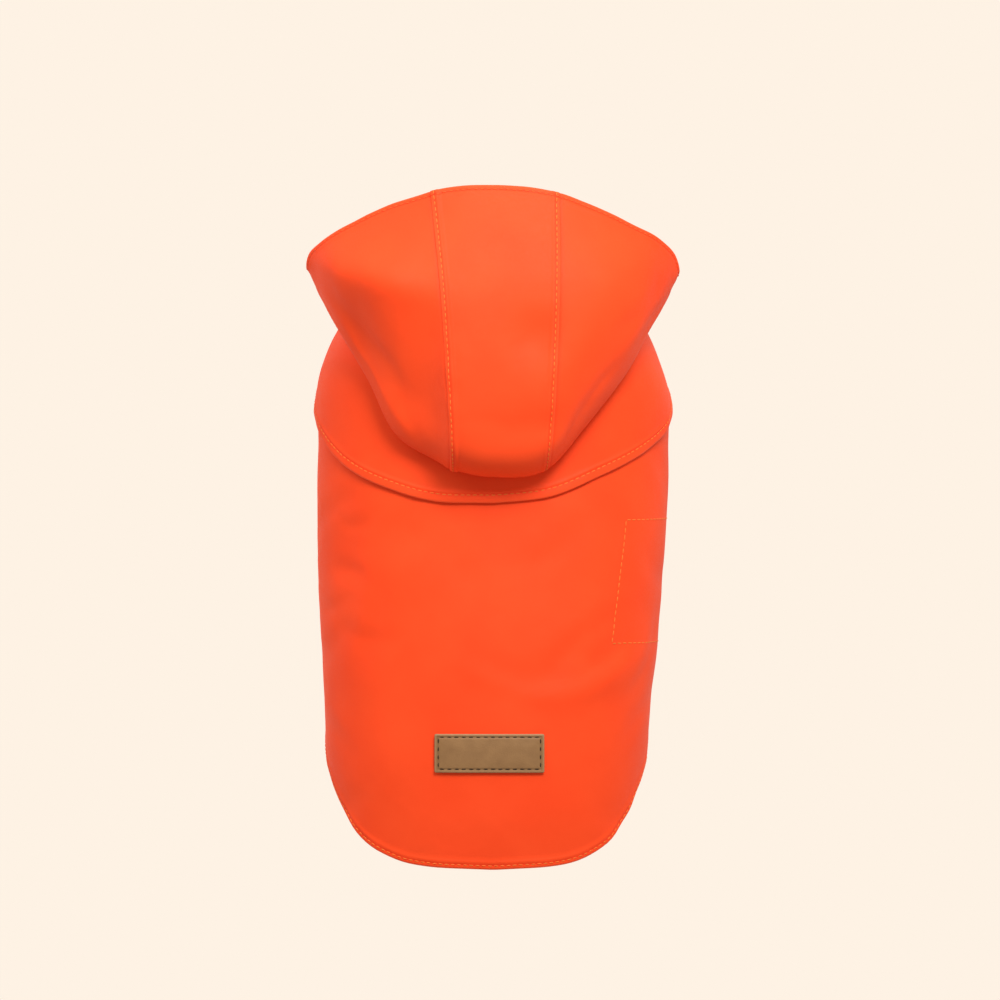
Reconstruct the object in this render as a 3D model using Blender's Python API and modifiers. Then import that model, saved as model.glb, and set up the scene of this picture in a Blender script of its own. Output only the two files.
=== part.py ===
"""Hooded dog raincoat in its worn form, with no wearer.

Seen from above, +Y is the front (hood) and +X the right flank. The origin lies on the
inner face of the back panel, on the spine, where the coat rests on its wearer.
Sizes below are millimetres; the meshes are made in metres.
"""
import math
from collections import namedtuple

import bmesh
import bpy
import numpy as np

# ---------------------------------------------------------------- driving dimensions
MM = 0.001
CLOTH = 1.2            # wall of every cloth piece
SEAM_GAP = 0.6         # between pieces that are sewn edge to edge
CHIN_GAP = 1.1         # at the chin, where both hood sides turn up
RIDGE_GAP = 1.3        # where the left hood side drops away from the gusset
LAYER_GAP = 0.5        # between a piece and the layer it lies on
CAPE_STAND = 1.3       # how far the cape's free hem stands off the back panel
ROUNDNESS = 2.4        # superellipse exponent of the trunk, 2 is a true ellipse

NECK_Y = 135.0         # station of the neck seam
NECK_TILT = 33.0       # the neck ring leans back by this many degrees
CHEST_RADIUS = 60.0    # mean radius at the chest seam
PANEL_NECK_ANGLE = 104.0   # the back panel's reach round the neck, each way

STRAP_REAR, STRAP_FRONT = -41.0, 19.0
STRAP_SEWN_END = 43.0      # degrees from the spine, inside the right flank
STRAP_FREE_END = 257.0     # on round the belly to the outside of the left flank, out of sight
STRAP_CROSSING = (128.0, 230.0)    # it moves from the inside to the outside between these

LABEL_X, LABEL_Y = -1.8, -97.0
LABEL_LENGTH, LABEL_WIDTH, LABEL_WALL = 54.5, 19.0, 1.3

# ---------------------------------------------------------------- tables
Section = namedtuple("Section", "place y z left right half_height tilt")
TRUNK = [
    Section("past the tail", -175, -76.5, 80.0, 71.8, 60.0, 0),
    Section("tail", -150, -71.0, 81.7, 74.0, 61.5, 0),
    Section("hip", -115, -68.0, 83.4, 76.2, 63.5, 0),
    Section("loin", -70, -66.2, 85.5, 80.0, 65.2, 0),
    Section("waist", -20, -66.0, 88.2, 84.9, 66.0, 0),
    Section("ribs", 20, -66.0, 89.0, 88.0, 66.0, 0),
    Section("withers", 55, -65.5, 88.7, 88.6, 66.0, 0),
    Section("shoulder", 78, -63.5, 88.3, 88.4, 65.5, 4),
    Section("shoulder front", 97, -58.5, 84.5, 83.2, 63.5, 11),
    Section("chest", 115, -50.0, 75.0, 74.0, 60.5, 20),
    Section("neck base", 127, -41.0, 62.0, 62.0, 57.5, 28),
    Section("neck seam", NECK_Y, -32.0, 52.0, 52.0, 55.0, NECK_TILT),
    Section("past the neck", 145, -25.0, 47.0, 47.0, 53.0, 36),
]

HemPoint = namedtuple("HemPoint", "place angle y")
HEM = [
    HemPoint("tail", 0, -155.4),
    HemPoint("tail curve", 26, -152.6),
    HemPoint("tail corner", 46, -143.3),
    HemPoint("hip", 60, -130.5),
    HemPoint("haunch", 74, -114.0),
    HemPoint("flank rise", 90, -96.0),
    HemPoint("rear flank", 106, -73.0),
    HemPoint("flank", 115, -40.0),
    HemPoint("flank front", 118, 2.0),
    HemPoint("front corner", 117, 50.0),
]

CapeEdge = namedtuple("CapeEdge", "angle left_y right_y")
CAPE_HEM = [
    CapeEdge(0, 28.2, 28.2),
    CapeEdge(14, 28.8, 31.0),
    CapeEdge(32, 35.5, 41.0),
    CapeEdge(54, 47.5, 53.5),
    CapeEdge(75, 65.0, 66.5),
    CapeEdge(95, 80.0, 80.0),
    CapeEdge(130, 97.0, 97.0),
    CapeEdge(180, 109.0, 109.0),
]

# A meridian runs from the neck seam, back over the cape, round the fold and forward to the rim.
# Its bow is how far it bends outwards between fold and rim.
Meridian = namedtuple(
    "Meridian", "place angle steps fold_x fold_y fold_z bow crown_z brow_z rim_x rim_y rim_z"
)
HOOD_LEFT = [
    Meridian("chin", 180, 3, 0, 174, -84, 0, -86, -87, 0, 182, -88),
    Meridian("jaw", 152, 3, 44, 167, -70, 0, -71, -72, 52, 171, -73),
    Meridian("cheek", 127, 3, 74, 151, -48, 0, -47, -47, 85, 155, -47),
    Meridian("corner", 106, 2, 89, 137.5, -25, 0, -23, -21, 94.6, 146.5, -21),
    Meridian("ear", 96, 2, 83.8, 127.0, -14, 0, -9, -9, 92.3, 154.3, -12.5),
    Meridian("temple", 86, 4, 77.6, 116, -7, 0, 1.5, 7.5, 86.3, 159.3, -4),
    Meridian("shoulder", 62, 3, 62, 89, -1, 0, 7.5, 24.5, 71.0, 168.5, 7.5),
    Meridian("crown side", 40, 2, 46.5, 60.5, 4.4, 0, 15.5, 33.0, 52, 177.3, 15),
    Meridian("panel edge", 25, 1, 27.0, 48.7, 7.6, -1.2, 27.5, 35.5, 35.8, 182.4, 18.6),
    Meridian("seam", 21, 0, 21.8, 45.5, 8.4, -1.6, 34.4, 36.4, 31.5, 183.8, 19.5),
]
GUSSET_EDGE = Meridian("gusset edge", 16, 0, 17.0, 44.4, 8.8, -1.2, 35.4, 36.6, 24.0, 185.6, 20.2)
SPINE = Meridian("spine", 0, 0, -2.0, 42, 9, 0, 35, 36.6, 0, 187, 20.5)
HOOD_RIGHT = [
    Meridian("seam", 25, 3, 28.0, 46.5, 8.2, 2.0, 33.5, 35, 33.5, 183, 19),
    Meridian("crown side", 42, 3, 45.5, 66.0, 4.4, 1.0, 26.5, 29.5, 54.5, 175.2, 14),
    Meridian("shoulder", 62, 4, 65.0, 91, -1, 0, 17.5, 18.5, 72, 167, 5),
    Meridian("temple", 86, 2, 78.4, 115, -8, 0, 4, 2, 85.4, 159.4, -5.5),
    Meridian("ear", 96, 2, 84.4, 125.5, -15, 0, -9, -9.5, 91.6, 153.3, -13.5),
    Meridian("corner", 106, 3, 89, 136, -25, 0, -23, -21, 94.4, 144.5, -21),
    Meridian("cheek", 127, 3, 74, 151, -48, 0, -47, -47, 85, 154, -47),
    Meridian("jaw", 152, 3, 44, 167, -70, 0, -71, -72, 52, 171, -73),
    Meridian("chin", 180, 0, 0, 174, -84, 0, -86, -87, 0, 182, -88),
]
GUSSET_STEPS = 8
# Where the control points lie between neck, fold and rim, and the steps of mesh in each stretch.
BROW_SHARE, UNDER_SHARE = 0.66, 0.72
# At the nape, where the hood lies on its fullest roll, and under the chin, where it has none.
CROWN_SHARE, ROLL_SHARE, ROLL_RISE = (0.20, 0.27), (0.045, 0.14), (0.70, 0.50)
FOLD_DROP = 3.6        # the under layer lies this far below the middle of the fold
NECK_TURN = 2.6        # the hood stands this far off at the neck before it turns back
STRETCH_STEPS = (2, 4, 3, 3, 3, 4, 4)

Fold = namedtuple("Fold", "place x y length width heading rise")
BODY_FOLDS = [
    Fold("left flank hollow", -75, -2, 34, 9, 88, -1.6),
    Fold("right hip swell", 62, -56, 30, 10, 30, 1.3),
    Fold("hollow under the cape", -58, 8, 24, 12, 20, -0.9),
    Fold("left tail roll", -58, -112, 26, 10, 70, 1.0),
]
HOOD_FOLDS = [
    Fold("brow ridge", -62, 143, 30, 10, 8, 2.0),
    Fold("crown dimple", 21, 112.5, 14, 11.5, 60, -3.2),
    Fold("cheek hollow", 58, 98, 26, 9, 60, -2.0),
    Fold("nape hollow", 24, 66, 22, 9, 10, -1.4),
]


# ---------------------------------------------------------------- curves and surfaces
def through(places, values, at):
    """Smooth curve through rows of values, read at one place."""
    places = np.asarray(places, float)
    values = np.asarray(values, float)
    row = int(np.clip(np.searchsorted(places, at) - 1, 0, len(places) - 2))
    width = np.diff(places)
    chords = (values[1:] - values[:-1]) / width.reshape((-1,) + (1,) * (values.ndim - 1))

    def slope(k):
        if k == 0:
            return chords[0]
        if k == len(places) - 1:
            return chords[-1]
        before, after = width[k - 1], width[k]
        return (chords[k - 1] * after + chords[k] * before) / (before + after)

    span = width[row]
    t = (at - places[row]) / span
    a = 2 * t**3 - 3 * t**2 + 1
    b = t**3 - 2 * t**2 + t
    c = -2 * t**3 + 3 * t**2
    d = t**3 - t**2
    return a * values[row] + b * span * slope(row) + c * values[row + 1] + d * span * slope(row + 1)


def power(value, exponent):
    return math.copysign(abs(value) ** exponent, value)


def relief(folds, x, y):
    """Height that the soft folds add at a place seen from above."""
    height = 0.0
    for fold in folds:
        turn = math.radians(fold.heading)
        along = (x - fold.x) * math.cos(turn) + (y - fold.y) * math.sin(turn)
        across = (y - fold.y) * math.cos(turn) - (x - fold.x) * math.sin(turn)
        height += fold.rise * math.exp(-((along / fold.length) ** 2) - (across / fold.width) ** 2)
    return height


TRUNK_Y = [section.y for section in TRUNK]
TRUNK_SIZES = [(s.z, s.left, s.right, s.half_height, s.tilt) for s in TRUNK]


def bare_trunk(angle, y):
    """Point on the general figure: angle in degrees from the spine, + to the right."""
    z, left, right, half_height, tilt = through(TRUNK_Y, TRUNK_SIZES, y)
    turn = math.radians(angle)
    side = right if math.sin(turn) > 0 else left
    across = side * power(math.sin(turn), 2 / ROUNDNESS)
    up = half_height * power(math.cos(turn), 2 / ROUNDNESS)
    lean = math.radians(tilt)
    return np.array([across, y - up * math.sin(lean), z + up * math.cos(lean) + CLOTH])


def trunk(angle, y, lift=0.0):
    """Outer face of the back panel, moved out by lift."""
    here = bare_trunk(angle, y)
    turn_step = bare_trunk(angle + 0.5, y) - bare_trunk(angle - 0.5, y)
    long_step = bare_trunk(angle, y + 0.5) - bare_trunk(angle, y - 0.5)
    normal = np.cross(long_step, turn_step)
    normal = -normal / np.linalg.norm(normal)
    folds = relief(BODY_FOLDS, here[0], here[1]) if abs(angle) < 90 else 0.0
    return here + normal * (lift + folds)


# ---------------------------------------------------------------- meshes
def sheet(name, rows, wall, material, collection):
    """Closed wall from a grid of outer points, thickened inwards."""
    mesh = bpy.data.meshes.new(name)
    build = bmesh.new()
    grid = [[build.verts.new(point * MM) for point in row] for row in rows]
    for lower, upper in zip(grid, grid[1:]):
        for k in range(len(lower) - 1):
            build.faces.new((lower[k], upper[k], upper[k + 1], lower[k + 1]))
    build.to_mesh(mesh)
    build.free()
    mesh.shade_smooth()
    piece = bpy.data.objects.new(name, mesh)
    collection.objects.link(piece)
    mesh.materials.append(material)
    thicken = piece.modifiers.new("cloth wall", "SOLIDIFY")
    thicken.thickness = wall * MM
    thicken.offset = -1
    return piece


def finish(name, colour, roughness):
    material = bpy.data.materials.new(name)
    material.use_nodes = True
    shader = material.node_tree.nodes["Principled BSDF"]
    shader.inputs["Base Color"].default_value = (*colour, 1)
    shader.inputs["Roughness"].default_value = roughness
    shader.inputs["Metallic"].default_value = 0.0
    return material


# ---------------------------------------------------------------- pieces
def back_panel_rows(columns=44, rows=24):
    """Columns fan out from the neck seam to the hem, so the last row is the whole hem."""
    hem_steps = list(range(len(HEM)))
    hem_places = [(point.angle, point.y) for point in HEM]
    grid = []
    for i in range(rows + 1):
        share = (i / rows) ** 1.25
        row = []
        for k in range(columns + 1):
            across = 2 * k / columns - 1
            angle, y = through(hem_steps, hem_places, abs(across) * hem_steps[-1])
            neck_angle = PANEL_NECK_ANGLE * across
            hem_angle = math.copysign(angle, across)
            mixed_angle = neck_angle + (hem_angle - neck_angle) * share
            row.append(trunk(mixed_angle, NECK_Y + (y - NECK_Y) * share))
        grid.append(row)
    return grid


def yoke_rows(columns=56, rows=9):
    """Moved out from the back panel, and right round to a seam at the middle of the chest."""
    edge_angles = [edge.angle for edge in CAPE_HEM]
    edge_places = [(edge.left_y, edge.right_y) for edge in CAPE_HEM]
    seam = math.degrees(SEAM_GAP / 2 / CHEST_RADIUS)
    grid = []
    for i in range(rows + 1):
        share = i / rows
        row = []
        for k in range(columns + 1):
            angle = (180 - seam) * (2 * k / columns - 1)
            left_y, right_y = through(edge_angles, edge_places, abs(angle))
            hem_y = right_y if angle > 0 else left_y
            stand = LAYER_GAP + (CAPE_STAND - LAYER_GAP) * share**1.5
            row.append(trunk(angle, NECK_Y + (hem_y - NECK_Y) * share, stand + CLOTH))
        grid.append(row)
    return grid


def hood_points(meridian, side):
    """The control points of one meridian, on the left (-1) or the right (+1)."""
    ring = trunk(side * meridian.angle, NECK_Y, CLOTH)
    tilt = math.radians(NECK_TILT)
    forward = np.array([0, math.cos(tilt), math.sin(tilt)])
    start = ring + forward * SEAM_GAP
    fold = np.array([side * meridian.fold_x, meridian.fold_y, meridian.fold_z])
    rim = np.array([side * meridian.rim_x, meridian.rim_y, meridian.rim_z])
    turned_back = 0.5 + 0.5 * math.cos(math.radians(min(meridian.angle * 1.4, 180)))
    out = trunk(side * meridian.angle, NECK_Y, CLOTH + NECK_TURN) - ring
    turn = start + out * turned_back + (rim - start) * 0.06 + forward * 0.6 * turned_back
    under = turn + (fold - turn) * UNDER_SHARE
    under[2] = under[2] * (1 - turned_back) + (fold[2] - FOLD_DROP) * turned_back
    shares = np.array([CROWN_SHARE, ROLL_SHARE, ROLL_RISE])
    crown_share, roll_share, roll_rise = shares @ [turned_back, 1 - turned_back]
    crown = fold + (rim - fold) * crown_share
    crown[0] += side * meridian.bow
    crown[2] = meridian.crown_z
    brow = fold + (rim - fold) * BROW_SHARE
    brow[0] += side * meridian.bow
    brow[2] = meridian.brow_z
    roll = fold + (rim - fold) * roll_share
    roll[0] += side * meridian.bow / 2
    roll[2] = fold[2] + (crown[2] - fold[2]) * roll_rise
    return [start, turn, under, fold, roll, crown, brow, rim]


LEFT_HALF = HOOD_LEFT + [GUSSET_EDGE]
HOOD_ANGLES = [-m.angle for m in LEFT_HALF] + [SPINE.angle] + [m.angle for m in HOOD_RIGHT]
HOOD_NET = (
    [hood_points(m, -1) for m in LEFT_HALF]
    + [hood_points(SPINE, 1)]
    + [hood_points(m, 1) for m in HOOD_RIGHT]
)


def hood_column(angle):
    """One meridian of the hood, from the neck seam to the rim."""
    controls = through(HOOD_ANGLES, HOOD_NET, angle)
    lengths = np.linalg.norm(np.diff(controls, axis=0), axis=1)
    places = np.concatenate([[0], np.cumsum(np.sqrt(lengths))])
    column = []
    for stretch, steps in enumerate(STRETCH_STEPS):
        for step in range(steps):
            at = places[stretch] + (places[stretch + 1] - places[stretch]) * step / steps
            column.append(through(places, controls, at))
    column.append(controls[-1])
    return column


def side_angles(table, side):
    """Column angles of one hood side, so that every meridian of its table is a column."""
    angles = []
    for here, following in zip(table, table[1:]):
        for step in range(here.steps):
            angles.append(side * (here.angle + (following.angle - here.angle) * step / here.steps))
    return angles + [side * table[-1].angle]


def hood_rows(angles, first_gap, last_gap):
    """Hood surface through the given meridians, drawn in by a gap's half at either side."""
    grid = [hood_column(angle) for angle in angles]
    for edge, inner, gap in ((0, 1, first_gap), (-1, -2, last_gap)):
        for k, point in enumerate(grid[edge]):
            inward = grid[inner][k] - point
            grid[edge][k] = point + inward / np.linalg.norm(inward) * gap / 2
    upper_rows = sum(STRETCH_STEPS[:3])
    for column in grid:
        for k in range(upper_rows, len(column)):
            column[k] = column[k] + np.array([0, 0, relief(HOOD_FOLDS, column[k][0], column[k][1])])
    return grid


def strap_rows(around=34, across=6):
    """Inside the right flank, then round the belly and on to the outside of the left flank."""
    inside = -(CLOTH + LAYER_GAP)
    outside = CLOTH + LAYER_GAP
    grid = []
    for i in range(across + 1):
        y = STRAP_FRONT + (STRAP_REAR - STRAP_FRONT) * i / across
        row = []
        for k in range(around + 1):
            angle = STRAP_SEWN_END + (STRAP_FREE_END - STRAP_SEWN_END) * k / around
            crossing = (angle - STRAP_CROSSING[0]) / (STRAP_CROSSING[1] - STRAP_CROSSING[0])
            crossing = min(max(crossing, 0), 1)
            lift = inside + (outside - inside) * crossing**2 * (3 - 2 * crossing)
            row.append(trunk(angle if angle < 180 else angle - 360, y, lift))
        grid.append(row)
    return grid


def label_rows(along=8, across=4):
    """A flat patch laid on the back, found from its places seen from above."""
    grid = []
    for i in range(across + 1):
        y = LABEL_Y + LABEL_WIDTH * (0.5 - i / across)
        left, right = through(TRUNK_Y, TRUNK_SIZES, y)[1:3]
        row = []
        for k in range(along + 1):
            x = LABEL_X + LABEL_LENGTH * (k / along - 0.5)
            half = right if x > 0 else left
            angle = math.degrees(math.asin(power(x / half, ROUNDNESS / 2)))
            row.append(trunk(angle, y, LAYER_GAP + LABEL_WALL))
        grid.append(row)
    return grid


def build():
    for old in list(bpy.data.objects):
        bpy.data.objects.remove(old, do_unlink=True)
    coat = bpy.data.collections.new("dog_raincoat")
    bpy.context.scene.collection.children.link(coat)
    rain_cloth = (0.95, 0.10, 0.03)

    def cloth(name):
        return finish(name + "_cloth", rain_cloth, 0.55)

    sheet("back_panel", back_panel_rows(), CLOTH, cloth("back_panel"), coat)
    sheet("yoke", yoke_rows(), CLOTH, cloth("yoke"), coat)
    left_seam, right_seam = HOOD_LEFT[-1].angle, HOOD_RIGHT[0].angle
    left_side = hood_rows(side_angles(HOOD_LEFT, -1), CHIN_GAP, RIDGE_GAP)
    gusset = hood_rows(np.linspace(-left_seam, right_seam, GUSSET_STEPS + 1), RIDGE_GAP, SEAM_GAP)
    right_side = hood_rows(side_angles(HOOD_RIGHT, 1), SEAM_GAP, CHIN_GAP)
    sheet("hood_side_left", left_side, CLOTH, cloth("hood_side_left"), coat)
    sheet("hood_gusset", gusset, CLOTH, cloth("hood_gusset"), coat)
    sheet("hood_side_right", right_side, CLOTH, cloth("hood_side_right"), coat)
    sheet("belly_strap", strap_rows(), CLOTH, cloth("belly_strap"), coat)
    leather = finish("label_leather", (0.30, 0.17, 0.08), 0.6)
    sheet("label", label_rows(), LABEL_WALL, leather, coat)


build()
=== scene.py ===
# %% [markdown]
# # A hooded dog raincoat
#
# The coat is seen from straight above, filled out as if worn. It is sewn from flat cuts of coated
# rain cloth: a back panel, a shoulder cape, a hood of three panels and a belly strap, with a
# leather label near the tail.
#
# Cloth could be simulated, but a simulation doesn't hold a given outline. So each cut is made here
# as a flat grid that is laid on the garment's form, with its hems, seams and creases worked into
# it. That is what a sewn cloth does: it keeps its area and takes a shape.

# %% Load the frame
import math
from collections import namedtuple

import bmesh
import bpy
import numpy as np
from mathutils import Matrix, Vector
from mathutils.bvhtree import BVHTree


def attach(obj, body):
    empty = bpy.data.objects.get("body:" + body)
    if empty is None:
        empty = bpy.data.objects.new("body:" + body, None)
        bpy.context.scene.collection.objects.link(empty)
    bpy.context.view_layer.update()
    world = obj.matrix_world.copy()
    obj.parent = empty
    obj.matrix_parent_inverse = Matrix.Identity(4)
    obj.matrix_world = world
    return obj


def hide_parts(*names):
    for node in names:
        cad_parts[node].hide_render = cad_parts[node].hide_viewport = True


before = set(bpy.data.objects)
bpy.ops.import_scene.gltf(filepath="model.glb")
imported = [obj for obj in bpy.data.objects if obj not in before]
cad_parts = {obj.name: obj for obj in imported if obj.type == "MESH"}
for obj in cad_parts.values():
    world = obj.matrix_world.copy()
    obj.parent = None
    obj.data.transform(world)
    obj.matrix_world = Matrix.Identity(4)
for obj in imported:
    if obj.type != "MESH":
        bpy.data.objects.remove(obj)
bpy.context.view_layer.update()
MM = 0.001
print("CAD nodes:", ", ".join(sorted(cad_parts)))

# %% [markdown]
# ## The camera, the light and the ground
#
# The picture looks straight down from far away, so that nothing shrinks towards its edges. An
# orthographic camera could do that, and a long lens from 5 m does it as a photographer would. One
# pixel of the 1000 x 1000 picture is half a millimetre of the coat.

# %% Camera
PIXEL = 0.5 * MM
PICTURE = 1000
SPINE_PIXEL, ORIGIN_PIXEL = 493, 560    # where the frame's origin lies, across and down
CAMERA_HEIGHT = 5.0

camera_data = bpy.data.cameras.new("camera")
camera_data.lens = camera_data.sensor_width * CAMERA_HEIGHT / (PICTURE * PIXEL)
camera_data.clip_end = 20.0
camera = bpy.data.objects.new("camera", camera_data)
bpy.context.scene.collection.objects.link(camera)
middle = PICTURE / 2
camera.location = ((middle - SPINE_PIXEL) * PIXEL, (ORIGIN_PIXEL - middle) * PIXEL, CAMERA_HEIGHT)
bpy.context.scene.camera = camera
print("lens", round(camera_data.lens), "mm at", CAMERA_HEIGHT, "m")

# %% [markdown]
# The ground is a plain cream sheet, well below the coat, where a small dog's feet would be. A
# lit sheet would take the coat's shadow, which the picture doesn't have. So its material is an
# emission: it glows of itself, as a studio sweep lit from behind does.

# %% Ground
CREAM = (0.991, 0.888, 0.776)
GROUND_Z = -0.32
GROUND_SIZE = 6.0

cream = bpy.data.materials.new("cream_ground")
cream.use_nodes = True
cream.node_tree.nodes.clear()
glow = cream.node_tree.nodes.new("ShaderNodeEmission")
glow.inputs["Color"].default_value = (*CREAM, 1)
ground_out = cream.node_tree.nodes.new("ShaderNodeOutputMaterial")
cream.node_tree.links.new(glow.outputs[0], ground_out.inputs["Surface"])

ground_mesh = bpy.data.meshes.new("ground")
bm = bmesh.new()
bmesh.ops.create_grid(bm, x_segments=1, y_segments=1, size=GROUND_SIZE)
bmesh.ops.translate(bm, verts=bm.verts, vec=(0, 0, GROUND_Z))
bm.to_mesh(ground_mesh)
bm.free()
ground_mesh.materials.append(cream)
ground = bpy.data.objects.new("ground", ground_mesh)
bpy.context.scene.collection.objects.link(ground)
print("ground at z", GROUND_Z, "m")

# %% [markdown]
# The light in the picture is soft and comes from in front of the hood, slightly from the right:
# the cloth is bright all over and only a little darker towards the tail and at the lower left.
# One lamp above the hood gives that direction. A weak, low one at the front left lays a whitish
# veil on the faces that turn to it, and an even sky fills the rest. A sky alone would be simpler,
# but it leaves the folds without a light and a dark side.

# %% Lamps
SKY_STRENGTH = 0.46


def lamp(name, place, size, watts, colour):
    """A square area lamp that looks at the coat."""
    data = bpy.data.lights.new(name, "AREA")
    data.size = size
    data.energy = watts
    data.color = colour
    thing = bpy.data.objects.new(name, data)
    thing.location = place
    thing.rotation_mode = "QUATERNION"
    thing.rotation_quaternion = (-Vector(place)).to_track_quat("-Z", "Y")
    bpy.context.scene.collection.objects.link(thing)


lamp("key", place=(0.24, 0.68, 0.82), size=0.40, watts=12.0, colour=(1.0, 0.98, 0.96))
lamp("fill", place=(-0.90, 1.05, 0.48), size=0.9, watts=6.8, colour=(1.0, 0.97, 0.95))
world = bpy.data.worlds.new("studio")
world.use_nodes = True
sky = world.node_tree.nodes["Background"]
sky.inputs["Color"].default_value = (*CREAM, 1)
sky.inputs["Strength"].default_value = SKY_STRENGTH
bpy.context.scene.world = world
bpy.context.scene.view_settings.view_transform = "Standard"
print("lamps:", [(light.name, light.energy) for light in bpy.data.lights], "sky", SKY_STRENGTH)

# %% [markdown]
# ## Curves through short tables
#
# The shapes come from a few sections and a few meridians. A smooth curve through the rows of a
# table reads off any place between them. Blender's own curves could do it one at a time; this one
# works on whole arrays at once, because a fine cloth has many thousands of points. All sizes below
# are in millimetres and degrees.

# %% A curve through a table


def through(places, values, at):
    """Smooth curve through a table's rows, read at many places."""
    places, values = np.asarray(places, float), np.asarray(values, float)
    flat = values.reshape(len(places), -1)
    width = np.diff(places)
    chord = np.diff(flat, axis=0) / width[:, None]
    slope = np.vstack([chord[:1], chord[:-1], chord[-1:]])
    before, after = width[:-1, None], width[1:, None]
    slope[1:-1] = (chord[:-1] * after + chord[1:] * before) / (before + after)
    at = np.clip(np.asarray(at, float), places[0], places[-1])
    row = np.clip(np.searchsorted(places, at) - 1, 0, len(places) - 2)
    span = width[row][:, None]
    t = (at - places[row])[:, None] / span
    out = (2 * t**3 - 3 * t**2 + 1) * flat[row] + (t**3 - 2 * t**2 + t) * span * slope[row]
    out += (3 * t**2 - 2 * t**3) * flat[row + 1] + (t**3 - t**2) * span * slope[row + 1]
    return out.reshape((len(at),) + values.shape[1:])


print("a quarter of the way from 0 to 8:", through([0, 1], [0, 8], [0.25]))

# %% Small helpers


def power(value, exponent):
    """A power that keeps the sign."""
    return np.sign(value) * np.abs(value) ** exponent


def ease(value):
    """0 to 1 with soft ends."""
    value = np.clip(value, 0, 1)
    return value * value * (3 - 2 * value)


def unit(vectors):
    """Vectors of length 1 that point the same way."""
    return vectors / np.maximum(np.linalg.norm(vectors, axis=-1, keepdims=True), 1e-9)


def lengths(points):
    """How far along its line each point lies."""
    steps = np.linalg.norm(np.diff(points, axis=0), axis=-1)
    return np.concatenate([np.zeros((1,) + steps.shape[1:]), np.cumsum(steps, axis=0)])


print("halfway, with soft ends:", ease(0.5))

# %% [markdown]
# ## Soft folds and creases
#
# Rain cloth is stiff. It doesn't drape in many small folds: it buckles into a few long, shallow
# hollows and swells. They could be sculpted by hand. Here each swell is a row of a table instead,
# with its place seen from above, its heading, and how far it rises or sinks, so that it can be
# read and changed.

# %% Swells
Swell = namedtuple("Swell", "place x y length width heading rise")
BODY_SWELLS = [
    Swell("left flank hollow", -75, -2, 34, 9, 88, -1.6),
    Swell("right hip swell", 62, -56, 30, 10, 30, 1.3),
    Swell("hollow under the cape", -58, 8, 24, 12, 20, -0.9),
    Swell("left tail roll", -58, -112, 26, 10, 70, 1.0),
]
HOOD_SWELLS = [
    Swell("brow ridge", -54, 139, 30, 11, -16, 2.4),
    Swell("crown dimple", 21, 111.0, 13, 11.5, 60, -2.7),
    Swell("cheek hollow", 58, 98, 26, 9, 60, -2.0),
    Swell("nape hollow", 24, 66, 22, 9, 10, -1.4),
]


def plan_relief(swells, points):
    """How far the swells lift the cloth at places seen from above."""
    height = np.zeros(points.shape[:-1])
    for swell in swells:
        turn = math.radians(swell.heading)
        x, y = points[..., 0] - swell.x, points[..., 1] - swell.y
        along = x * math.cos(turn) + y * math.sin(turn)
        across = y * math.cos(turn) - x * math.sin(turn)
        height += swell.rise * np.exp(-((along / swell.length) ** 2) - (across / swell.width) ** 2)
    return height


print("swells:", [swell.place for swell in BODY_SWELLS + HOOD_SWELLS])

# %% [markdown]
# A crease is finer and may lie anywhere, also on the flanks, the chest and inside the mouth of the
# hood: a bent trough with a low ridge beside it, which dies out at its ends. It has a place and a
# heading in space, so that the hidden sides get theirs as well. No two are alike. A noise texture
# would be quicker, but it spreads its marks evenly, where real creases gather at bends and seams.

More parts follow.
